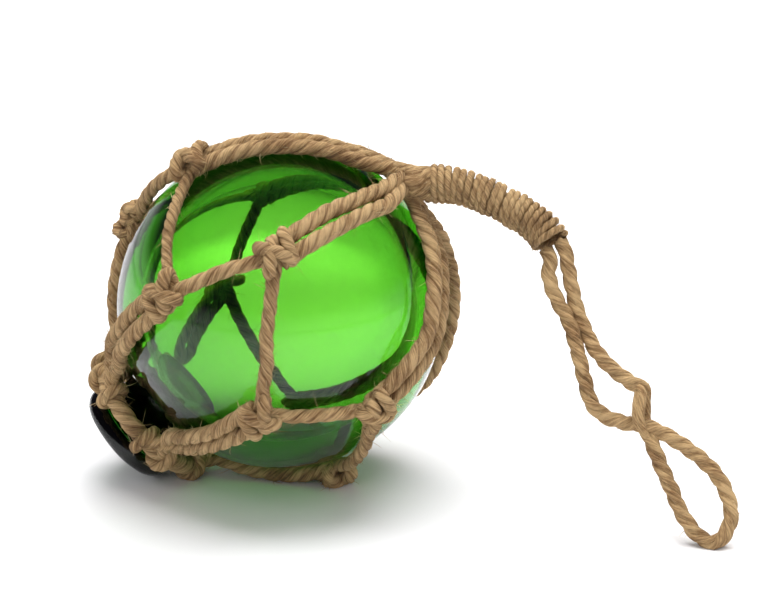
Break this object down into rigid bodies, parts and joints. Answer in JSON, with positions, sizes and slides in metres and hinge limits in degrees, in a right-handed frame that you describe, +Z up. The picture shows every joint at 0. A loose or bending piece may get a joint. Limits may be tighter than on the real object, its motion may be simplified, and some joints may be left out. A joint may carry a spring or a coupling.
{
  "type": "glass float ball",
  "caption": "sealed glass float ball in a knotted jute net, with a whipped neck of rope and a hanging loop, lying on its side",
  "frame": {"origin": "centre of the base of the ball, net and whipping: the middle of their box in X and Y, on the surface that the float lies on", "axes": "X is horizontal, from the glass seal towards the whipping; Z is up; Y is horizontal, away from the hanging loop; the float's own axis lies in the XZ plane and rises 41 degrees towards +X"},
  "size_m": [0.1941, 0.1142, 0.1103],
  "materials": {
    "green_glass": "clear green blown glass, glossy, darker where it is thick at the seal",
    "jute": "three-ply twisted jute rope, dull, with loose fibres"
  },
  "bodies": {
    "root": {"glass_ball": "green_glass", "net": "jute", "whipping": "jute", "hanging_loop": "jute"}
  },
  "joints": []
}
